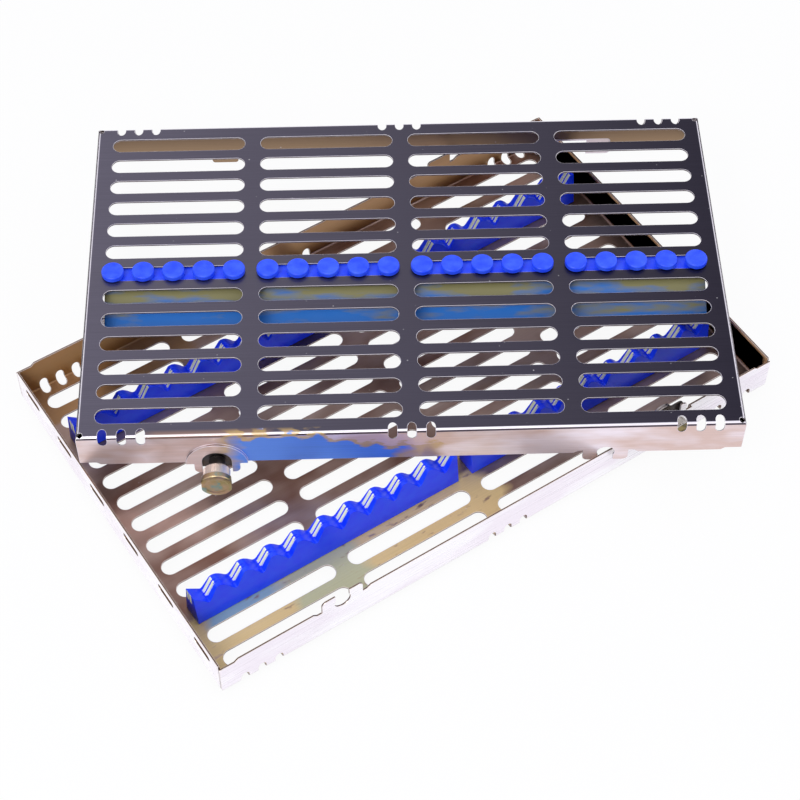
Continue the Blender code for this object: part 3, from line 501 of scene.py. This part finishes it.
def rolled_steel(name, tones, dullness, tint_and_reflection_patches):
    """Rolled stainless sheet. Brushed lines run along it, the tumbled edges carry a painted highlight and the cuts
    through the sheet painted shade, and the inside is duller and browner than the outside, with painted shade low on
    its walls.
    The plate is painted lighter at one end, and the bends carry painted highlight and shade lines. Straw, tan,
    green-blue and brown patches lie on it, and the blue patch on the lid's front wall is a painted reflection."""
    material, tree, output = blank_material(name)
    own = node(tree, "ShaderNodeAttribute", {"attribute_name": "own_place"}).outputs["Vector"]
    across, deep, up = parted(tree, own)
    # Which side of the sheet this is: distance from the middle of the bends, in mm
    size = vectors(tree, "ABSOLUTE", own)[0]
    size = vectors(tree, "MULTIPLY_ADD", size, (1, 1, -1), (BEND - WIDE / 2, BEND - DEEP / 2, BEND))[0]
    size = vectors(tree, "MAXIMUM", size, (0, 0, 0))[0]
    size = vectors(tree, "LENGTH", size)["Value"]
    outside = ranged(tree, size, 1.3, 1.5)
    level = maths(tree, "ABSOLUTE", facing(tree)[2])
    # Brushing: lines 0.4 mm wide and 60 mm long. Clouds: slow changes of tone over 40 mm
    lines = cloudy(tree, own, (60.0, 0.4, 0.4))
    clouds = cloudy(tree, own, (46.0, 26.0, 16.0))
    fine = cloudy(tree, own, (7.0, 2.6, 2.6))
    # The plate is painted lighter at one end and darker at the other: painted light and shade across it
    slope = ranged(tree, across, -140.0, 140.0)
    plate = mixed(tree, slope, linear(tones["plate_painted_shade_right"]), linear(tones["plate_painted_light_left"]))
    wall = mixed(tree, ranged(tree, clouds, 0.4, 0.6), linear(tones["wall"]), linear(tones["wall_warm"]))
    # Seen along the bend, the flat ends in a painted highlight line, a painted shade line runs under it, then the wall
    # starts; the ramp paints them by the slope of the surface
    bend = node(tree, "ShaderNodeValToRGB", i0=level)
    ramp = bend.color_ramp
    stops = ((0.20, "wall"), (0.34, "bend_painted_shade"), (0.62, "bend_painted_shade"), (0.72, "bend_painted_highlight"),
             (0.93, "bend_painted_highlight"), (0.985, "bend_painted_highlight_end"))
    while len(ramp.elements) < len(stops):
        ramp.elements.new(0.5)
    for element, (at, tone) in zip(ramp.elements, stops):
        element.position = at
        element.color = linear(tones[tone])
    outer = mixed(tree, ranged(tree, level, 0.20, 0.26), wall, bend.outputs[0])
    outer = mixed(tree, ranged(tree, level, 0.955, 0.99), outer, plate)
    # The floor is mottled in two tones, and its paler patches are painted highlights
    floor = mixed(tree, ranged(tree, clouds, 0.36, 0.64), linear(tones["floor"]), linear(tones["floor_mottle_and_painted_highlight"]))
    # Inner walls are painted darker towards the floor and lighter towards the rim: painted shade
    shade = mixed(tree, ranged(tree, up, 3.0, 17.0), linear(tones["inner_painted_shade_low"]), linear(tones["inner_painted_light_high"]))
    inner = mixed(tree, ranged(tree, level, 0.3, 0.9), shade, floor)
    tone = mixed(tree, outside, inner, outer)
    inside = maths(tree, "SUBTRACT", 1.0, outside)
    patch_mask = None
    # Patches of tone are laid on, and the blue one on the lid's front wall is a painted reflection of the blue racks
    for colour, x_span, y_span, z_span, on_outside, strength in tint_and_reflection_patches:
        place = band(tree, maths(tree, "ADD", across, ranged(tree, clouds, 0.3, 0.7, -9.0, 9.0)), *x_span, 7.0)
        place = maths(tree, "MULTIPLY", place, band(tree, deep, *y_span, 1.6))
        wavy = maths(tree, "ADD", up, ranged(tree, fine, 0.3, 0.7, -2.2, 2.2))
        if on_outside:
            # It fades towards the lid's middle in scallops 12 mm apart
            wavy = maths(tree, "ADD", wavy, ranged(tree, across, 12.0, 46.0, -9.0, 0.0))
            scallops = maths(tree, "SINE", maths(tree, "MULTIPLY", across, 2 * math.pi / 12))
            wavy = maths(tree, "ADD", wavy, maths(tree, "MULTIPLY", scallops, 1.5))
        place = maths(tree, "MULTIPLY", place, band(tree, wavy, *z_span, 1.2))
        place = maths(tree, "MULTIPLY", place, outside if on_outside else inside)
        place = maths(tree, "MULTIPLY", place, strength)
        tone = mixed(tree, place, tone, linear(colour))
        patch_mask = place if patch_mask is None else maths(tree, "MAXIMUM", patch_mask, place)
    # Edge of the sheet: painted shade on the cut through it, painted highlight on the tumbled edge
    trim = node(tree, "ShaderNodeAttribute", {"attribute_name": "trim"}).outputs["Fac"]
    tone = mixed(tree, band(tree, trim, 0.4, 0.6, 0.2), tone, linear(tones["cut"]))
    tone = mixed(tree, ranged(tree, trim, 0.7, 0.9), tone, linear(tones["edge"]))
    grain = ranged(tree, lines, 0.3, 0.7, 0.90, 1.07)
    tone = mixed(tree, 1.0, tone, grain, "MULTIPLY")
    # Specks of dust and pits, 0.4 mm across
    specks = node(tree, "ShaderNodeTexVoronoi", {"feature": "F1"}, Vector=own, Scale=0.28, Randomness=1.0)
    speck = ranged(tree, specks.outputs["Distance"], 0.10, 0.06)
    speck = maths(tree, "MULTIPLY", speck, ranged(tree, fine, 0.58, 0.64))
    tone = mixed(tree, maths(tree, "MULTIPLY", speck, 0.6), tone, linear("#E4E2EA"))
    dull = ranged(tree, outside, 0.0, 1.0, dullness[0], dullness[1])
    dull = maths(tree, "ADD", dull, ranged(tree, lines, 0.3, 0.7, -0.05, 0.06))
    bump = node(tree, "ShaderNodeBump", Strength=0.1, Distance=0.00004, Height=lines)
    # The outer faces of the folded walls keep a fine matt skin from the rolls
    skin = maths(tree, "MULTIPLY", outside, ranged(tree, level, 0.3, 0.1, 0.0, 0.5))
    walls = maths(tree, "SUBTRACT", 1.0, skin)
    metal = node(tree, "ShaderNodeBsdfPrincipled", Base_Color=tone, Roughness=dull, Normal=bump.outputs[0],
                 Metallic=maths(tree, "MINIMUM", ranged(tree, patch_mask, 0.0, 1.0, 1.0, 0.35), walls))
    tree.links.new(metal.outputs[0], output.inputs["Surface"])
    return material


# Besides the steel's own tones, the plate, bend line and inner wall tones hold painted light and shade, and the floor
# tones hold painted highlights
lid_tones = {"plate_painted_light_left": "#646070", "plate_painted_shade_right": "#302D3A", "wall": "#F0E4EC", "wall_warm": "#D8BDB6",
             "bend_painted_shade": "#4A3E4A", "bend_painted_highlight": "#EFEAF6", "bend_painted_highlight_end": "#8C889C",
             "floor": "#8A7A70", "floor_mottle_and_painted_highlight": "#A89890", "inner_painted_shade_low": "#6E5A4C", "inner_painted_light_high": "#A0866C",
             "cut": "#574A48", "edge": "#EDE8F2"}
base_tones = {"plate_painted_light_left": "#9C8E8C", "plate_painted_shade_right": "#8E8280", "wall": "#FFFCFF", "wall_warm": "#F6EEF6",
              "bend_painted_shade": "#8C7C78", "bend_painted_highlight": "#FFFFFF", "bend_painted_highlight_end": "#BDB2B6",
              "floor": "#7E5F56", "floor_mottle_and_painted_highlight": "#AE9892", "inner_painted_shade_low": "#8E6C46", "inner_painted_light_high": "#C8A078",
              "cut": "#6A5446", "edge": "#E6DCDA"}
# Tinted patches: tone, span in X, Y and Z, on the outside or not, and how strong. On the lid the blue one is a painted
# reflection of the blue racks
lid_tints_and_painted_reflection = [("#A8826A", (64.0, 104.0), (-90.0, -86.0), (-9.0, 30.0), True, 0.45),
              ("#C4A468", (-8.0, 74.0), (-90.0, -86.0), (0.5, 30.0), True, 0.7),
              # Painted reflection of the blue racks on the lid's front wall
              ("#4C8CF0", (12.0, 68.0), (-90.0, -86.0), (3.0, 30.0), True, 0.95)]
base_tint_patches = [("#DCC28C", (-150.0, 4.0), (-90.0, -54.0), (-9.0, 2.0), False, 0.85),
               ("#5AA6C4", (-122.0, -100.0), (-66.0, -54.0), (-9.0, 2.0), False, 0.7),
               ("#8FB0A0", (-92.0, -60.0), (-90.0, -54.0), (-9.0, 2.0), False, 0.5),
               ("#A87C44", (-150.0, -60.0), (66.0, 88.0), (-9.0, 22.0), False, 0.7)]
lid_steel = rolled_steel("brushed stainless of the lid", lid_tones, (0.42, 0.34), lid_tints_and_painted_reflection)
base_steel = rolled_steel("brushed stainless of the base", base_tones, (0.44, 0.30), base_tint_patches)
finished("base_pressing", pressed, base_place, base_steel, "base", ["base_tray"])
finished("lid_pressing", pressed, lid_place, lid_steel, "lid", ["lid_tray"])
pressed.free()


# Racks and lips are moulded of blue silicone, each with ten round plugs that are pulled through the
# slots and hold it. A rack has ten saw-tooth notches with two shallow grooves along its crest.
FLOOR = 1.1
RACK_LENGTH, RACK_TOP, RACK_HALF, RACK_CREST = 129.0, 18.4, 5.1, 3.1
NOTCH_DEEP = 7.0
# One tooth as shares of its pitch and of the notch's depth: a steep side, a round crest, a long fall
TOOTH = ((0.0, 0.0), (0.03, 0.02), (0.07, 0.08), (0.31, 0.86), (0.33, 0.93), (0.37, 0.98), (0.42, 1.0),
         (0.47, 0.985), (0.53, 0.94), (0.60, 0.86), (0.70, 0.66), (0.80, 0.42), (0.88, 0.20), (0.94, 0.06),
         (0.97, 0.02))
GROOVES = (-1.3, 0.9)
GROOVE_HALF, GROOVE_DEEP = 0.4, 0.4
STRIP_AT, SLOT_HALF_PITCH = 68.0, 34.0
PLUG_PITCH, PLUG_NECK, PLUG_HEAD, PLUG_TALL = 13.3, 3.1, 4.95, 2.7


def plug(shape, x, y):
    """A plug hanging from z = 0: a neck through the slot and a round head with soft edges."""
    rod(shape, PLUG_NECK, -0.5, FLOOR + 0.5, 2, (x, y), 32)
    made = rod(shape, PLUG_HEAD - 0.03, -0.3 - PLUG_TALL, -0.3, 2, (x, y), 48)
    rims = [edge for vert in made for edge in vert.link_edges
            if abs(edge.verts[0].co.z - edge.verts[1].co.z) < 0.01 and edge.is_manifold]
    low = {edge for edge in rims if edge.verts[0].co.z < -2}
    high = set(rims) - low
    bmesh.ops.bevel(shape, geom=list(low), offset=0.85, offset_type="OFFSET", segments=6, profile=0.5,
                    affect="EDGES", material=-1)
    high = [edge for edge in high if edge.is_valid]
    bmesh.ops.bevel(shape, geom=high, offset=0.35, offset_type="OFFSET", segments=3, profile=0.5,
                    affect="EDGES", material=-1)


def outlined(points, axis, low, high):
    """A flat outline pushed along an axis into a solid."""
    shape = bmesh.new()
    place = {0: lambda u, v: (low, u, v), 1: lambda u, v: (u, low, v)}[axis]
    face = shape.faces.new([shape.verts.new(place(u, v)) for u, v in points])
    grown = bmesh.ops.extrude_face_region(shape, geom=[face])["geom"]
    step = [0, 0, 0]
    step[axis] = high - low
    moved = [item for item in grown if isinstance(item, bmesh.types.BMVert)]
    bmesh.ops.translate(shape, vec=step, verts=moved)
    bmesh.ops.recalc_face_normals(shape, faces=shape.faces)
    return shape


def rack_shape(side, row_y):
    pitch = RACK_LENGTH / 10
    start = -RACK_LENGTH / 2
    outline = [(start, FLOOR), (start, RACK_TOP)]
    for tooth in range(10):
        for share, rise in TOOTH:
            x = start + (tooth + 0.5 + share) * pitch
            if x < -start - 0.05:
                outline.append((x, RACK_TOP - NOTCH_DEEP * (1 - rise)))
    outline += [(-start, outline[-1][1]), (-start, FLOOR)]
    shape = outlined(outline, 1, -RACK_HALF, RACK_HALF)
    for y in [middle + side_of * GROOVE_HALF for middle in GROOVES for side_of in (-1, 0, 1)]:
        bmesh.ops.bisect_plane(shape, geom=whole(shape), plane_co=(0, y, 0), plane_no=(0, 1, 0), dist=0.001)
    for vert in shape.verts:
        share = (vert.co.z - FLOOR) / (RACK_TOP - FLOOR)
        in_groove = min(abs(vert.co.y - middle) for middle in GROOVES) < 0.01
        if in_groove and vert.co.z > FLOOR + 1 and abs(vert.co.x) < -start - 0.1:
            vert.co.z -= GROOVE_DEEP
            vert.co.x += 0.25
        vert.co.y *= (RACK_HALF + (RACK_CREST - RACK_HALF) * share) / RACK_HALF
    sharp = [edge for edge in shape.edges if edge.is_manifold and edge.calc_face_angle(0) > math.radians(55)
             and all(abs(vert.co.y) > 2 for vert in edge.verts)]
    bmesh.ops.bevel(shape, geom=sharp, offset=0.22, offset_type="OFFSET", segments=2, profile=0.5,
                    affect="EDGES", material=-1, clamp_overlap=True)
    bmesh.ops.translate(shape, vec=(side * STRIP_AT, row_y, 0), verts=shape.verts)
    plug_row(shape, side, row_y)
    return shape


def plug_row(shape, side, row_y):
    """Ten plugs, five in each of the two slots that a strip lies over."""
    for slot in (-1, 1):
        for at in range(5):
            plug(shape, side * STRIP_AT + slot * SLOT_HALF_PITCH + (at - 2) * PLUG_PITCH, row_y)


def lip_shape(side):
    """A flange under the slots and a tapered blade that leans towards the front wall."""
    section = [(-5.0, FLOOR), (-5.0, 3.3), (-22.0, 10.8), (-21.1, 12.6), (-0.8, 5.4), (5.0, 3.3),
               (5.0, FLOOR)]
    middle = side * STRIP_AT
    shape = outlined(section, 0, middle - RACK_LENGTH / 2, middle + RACK_LENGTH / 2)
    bmesh.ops.bevel(shape, geom=shape.edges[:], offset=0.45, offset_type="OFFSET", segments=3, profile=0.5,
                    affect="EDGES", material=-1)
    plug_row(shape, side, 0.0)
    return shape


def silicone(name, tone, light, painted_highlight, shade):
    """Moulded silicone rubber: a deep even blue, a dull bloom on it and a broad soft shine. The steep
    faces of the teeth carry two painted highlight lines, and the blade of a lip is painted duller than its plugs:
    painted shade in dull blue, going olive where a reflection of the steel is painted."""
    material, tree, output = blank_material(name)
    own = node(tree, "ShaderNodeAttribute", {"attribute_name": "own_place"}).outputs["Vector"]
    deep, up = parted(tree, own)[1:]
    bloom = cloudy(tree, own, (5.0, 4.0, 4.0), 4.0)
    tint = mixed(tree, ranged(tree, bloom, 0.35, 0.75), linear(tone), linear(light))
    if painted_highlight:
        # Two painted highlight lines on the steep faces of the teeth that face the light
        steep = ranged(tree, facing(tree)[0], -0.35, -0.5)
        row = maths(tree, "ABSOLUTE", deep)
        lines = maths(tree, "MAXIMUM", band(tree, row, 48.7, 50.1, 0.12), band(tree, row, 50.7, 52.3, 0.12))
        lines = maths(tree, "MULTIPLY", maths(tree, "MULTIPLY", lines, steep), ranged(tree, up, 11.3, 11.8))
        tint = mixed(tree, maths(tree, "MULTIPLY", lines, 0.95), tint, linear(painted_highlight))
    if shade:
        # The blade is painted in shade: dull blue, going olive where a reflection of the steel is painted
        blade = maths(tree, "MULTIPLY", ranged(tree, up, 2.6, 3.6), ranged(tree, deep, -4.0, -6.0))
        waves = cloudy(tree, own, (26.0, 6.0, 6.0))
        waves = maths(tree, "ADD", waves, ranged(tree, deep, -22.0, -8.0, -0.12, 0.12))
        blade_painted_shade_and_reflection = mixed(tree, ranged(tree, waves, 0.42, 0.66), linear(shade[0]), linear(shade[1]))
        tint = mixed(tree, blade, tint, blade_painted_shade_and_reflection)
    dull = ranged(tree, bloom, 0.3, 0.7, 0.30, 0.42)
    # Texture of the mould, 0.4 mm
    pores = cloudy(tree, own, (0.4, 0.4, 0.4), 2.0)
    bump = node(tree, "ShaderNodeBump", Strength=0.1, Distance=0.00005, Height=pores)
    rubber = node(tree, "ShaderNodeBsdfPrincipled", Base_Color=tint, Roughness=dull, IOR=1.41,
                  Normal=bump.outputs[0])
    tree.links.new(rubber.outputs[0], output.inputs["Surface"])
    return material


rack_blue = silicone("blue silicone of the racks", "#0A34FF", "#1C4CFF", "#F4F8D0", None)
lip_blue = silicone("blue silicone of the lips", "#1C46FA", "#3C64FF", None, ("#2C74CC", "#86825A"))
for row, row_y in (("front", -51.2), ("back", 51.2)):
    for name, side in (("left", -1), ("right", 1)):
        shape = rack_shape(side, row_y)
        place = "%s_%s" % (row, name)
        finished(place + "_notched_rack", shape, base_place, rack_blue, "base",
                 [place + "_rack"], 40)
        shape.free()
for name, side in (("left", 1), ("right", -1)):
    shape = lip_shape(side)
    finished(name + "_soft_lip", shape, lid_place, lip_blue, "lid", [name + "_lip"], 40)
    shape.free()


# Quarter-turn lock: a turned knob with a knurled band and a flange with two flats, on a spindle that
# runs in the seat. Behind the wall a keeper plate, a spring washer and a ring hold it.
def spun(profile, steps):
    """A turned shape from pairs of radius and height that run from the axis, round the piece and back."""
    shape = bmesh.new()
    chain = [shape.verts.new((radius, 0, height)) for radius, height in profile]
    edges = [shape.edges.new(pair) for pair in zip(chain, chain[1:])]
    bmesh.ops.spin(shape, geom=chain + edges, cent=(0, 0, 0), axis=(0, 0, 1), dvec=(0, 0, 0),
                   angle=2 * math.pi, steps=steps, use_merge=True)
    bmesh.ops.remove_doubles(shape, verts=shape.verts, dist=0.001)
    bmesh.ops.recalc_face_normals(shape, faces=shape.faces)
    return shape


def flattened(shape, half, low, high):
    """Cuts two parallel flats on a turned shape between two heights."""
    for side in (-1, 1):
        cut = [face for face in shape.faces if low < face.calc_center_median().z < high]
        cut += list({vert for face in cut for vert in face.verts}) + list({edge for face in cut for edge in face.edges})
        bmesh.ops.bisect_plane(shape, geom=cut, plane_co=(side * half, 0, 0), plane_no=(side, 0, 0),
                               clear_outer=True)
    bmesh.ops.holes_fill(shape, edges=[edge for edge in shape.edges if edge.is_boundary])
    bmesh.ops.recalc_face_normals(shape, faces=shape.faces)
    return shape


def knob_shape():
    back, shoulder, face = 4.1, 9.5, 12.5
    flange = [(0, face - 0.15), (4.6, face - 0.15), (5.0, face), (6.5, face), (6.85, face - 0.12),
              (7.1, face - 0.6), (7.1, shoulder + 0.5), (6.95, shoulder + 0.15), (6.6, shoulder)]
    band_and_bore = [(5.55, shoulder), (5.4, shoulder - 0.25), (5.4, shoulder - 0.75), (5.7, shoulder - 0.95),
                     (5.7, back + 0.75), (5.4, back + 0.3), (5.1, back), (3.8, back), (3.8, back + 6), (0, back + 6)]
    shape = spun(flange + band_and_bore, 144)
    # Straight knurl: every third edge of the band is pressed in by 0.4 mm
    for vert in shape.verts:
        out = math.hypot(vert.co.x, vert.co.y)
        turn = round(math.degrees(math.atan2(vert.co.y, vert.co.x)) / 2.5)
        if 5.68 < out < 5.72 and turn % 3 == 0:
            vert.co.x *= 5.3 / out
            vert.co.y *= 5.3 / out
    return flattened(shape, 6.25, shoulder - 0.1, face + 1)


def spindle_shape():
    profile = [(0, 9.8), (3.2, 9.8), (3.5, 9.5), (3.5, -0.6), (3.3, -0.8), (2.5, -0.8), (2.5, -4.7),
               (2.1, -5.1), (0, -5.1)]
    return spun(profile, 64)


def washer_shape(radius, low, high):
    profile = [(2.8, high), (radius - 0.15, high), (radius, high - 0.15), (radius, low + 0.15),
               (radius - 0.15, low), (2.8, low), (2.8, high)]
    return spun(profile, 64)


def keeper_shape():
    shape = bmesh.new()
    front = -DEEP / 2 + 1.1
    made = block(shape, (LOCK_AT - 9.7, front, 3.2), (LOCK_AT + 9.7, front + GAUGE, TALL + 5.0))
    round_edges(shape, made, 1, 3.0, ROUND, lambda middle: middle.z > TALL)
    hole = bmesh.new()
    rod(hole, 2.8, front - 1, front + 2, 1, (LOCK_AT, TALL), 48)
    plate = worked(solid_of(shape, "plate"), [("DIFFERENCE", hole)])
    edges = [edge for edge in plate.edges if edge.calc_face_angle(0) > math.radians(40)]
    bmesh.ops.bevel(plate, geom=edges, offset=0.12, offset_type="OFFSET", segments=2, profile=0.5,
                    affect="EDGES", material=-1, clamp_overlap=False)
    return plate


RING_PITCH = 0.3


def turned_steel(name, tone, warm, cool, roughness, painted_band_highlight=None):
    """Turned stainless with fine rings from the lathe, a bronze heat tint and a blue one."""
    material, tree, output = blank_material(name)
    own = node(tree, "ShaderNodeAttribute", {"attribute_name": "own_place"}).outputs["Vector"]
    clouds = cloudy(tree, own, (5.0, 5.0, 5.0))
    tint = mixed(tree, ranged(tree, clouds, 0.38, 0.62), linear(tone), linear(warm))
    spread = cloudy(tree, vectors(tree, "ADD", own, (31, 7, 5))[0], (6.0, 6.0, 6.0))
    tint = mixed(tree, ranged(tree, spread, 0.52, 0.66, 0.0, 0.75), tint, linear(cool))
    if painted_band_highlight:
        # The knurled band and the turned edge behind the flange carry a painted highlight
        tint = mixed(tree, band(tree, parted(tree, own)[1], -97.9, -90.0, 0.15), tint, linear(painted_band_highlight))
    # Rings of the lathe, 0.3 mm apart, round the lock's own axis
    flat = vectors(tree, "MULTIPLY", vectors(tree, "SUBTRACT", own, (LOCK_AT, 0, TALL))[0], (1, 0, 1))[0]
    radius = vectors(tree, "LENGTH", flat)["Value"]
    rings = maths(tree, "SINE", maths(tree, "MULTIPLY", radius, 2 * math.pi / RING_PITCH))
    tint = mixed(tree, 1.0, tint, ranged(tree, rings, -1.0, 1.0, 0.93, 1.03), "MULTIPLY")
    dull = ranged(tree, clouds, 0.3, 0.7, roughness - 0.04, roughness + 0.08)
    bump = node(tree, "ShaderNodeBump", Strength=0.1, Distance=0.00002, Height=rings)
    metal = node(tree, "ShaderNodeBsdfPrincipled", Base_Color=tint, Roughness=dull, Metallic=1.0,
                 Normal=bump.outputs[0])
    tree.links.new(metal.outputs[0], output.inputs["Surface"])
    return material


knob_steel = turned_steel("turned stainless of the knobs", "#9C8E62", "#B49C80", "#5E9CA4", 0.30, "#EDE8E4")
spindle_steel = turned_steel("turned stainless of the spindles", "#8E8682", "#A39A98", "#8A8C98", 0.30)
# The keepers are painted dark so that the slot behind each knob shows painted shade
keeper_painted_shade_steel = turned_steel("stainless of the keepers painted dark as shade", "#4A4340", "#5A504A", "#4C5058", 0.46)
spring_steel = turned_steel("spring stainless", "#A8A2A8", "#B8B0B0", "#8C94A8", 0.28)
for tray, place in (("base", base_place), ("lid", lid_place)):
    out = Matrix.Translation((LOCK_AT, -DEEP / 2, TALL)) @ Matrix.Rotation(math.pi / 2, 4, "X")
    pieces = (("knob", knob_shape(), knob_steel, tray + "_lock", "turned stainless", out),
              ("spindle", spindle_shape(), spindle_steel, tray + "_lock", "spring steel", out),
              ("washer", washer_shape(5.2, -3.0, -2.2), spring_steel, tray + "_lock", "spring steel", out),
              ("ring", washer_shape(4.8, -4.3, -3.3), spring_steel, tray + "_lock", "spring steel", out),
              ("keeper", keeper_shape(), keeper_painted_shade_steel, tray, "spring steel", Matrix.Identity(4)))
    for part, shape, finish, body, slot, turn in pieces:
        if part == "spindle":
            shape = flattened(shape, 2.9, -0.7, 3.8)
        if part == "ring":
            mouth = bmesh.new()
            block(mouth, (-1.5, -9, -5), (1.5, 0, 0))
            shape = worked(solid_of(shape, "ring"), [("DIFFERENCE", mouth)])
        bmesh.ops.transform(shape, matrix=turn, verts=shape.verts)
        finished("%s_lock_%s" % (tray, part), shape, place, finish, body, ["%s_%s" % (tray, part)])
        shape.free()
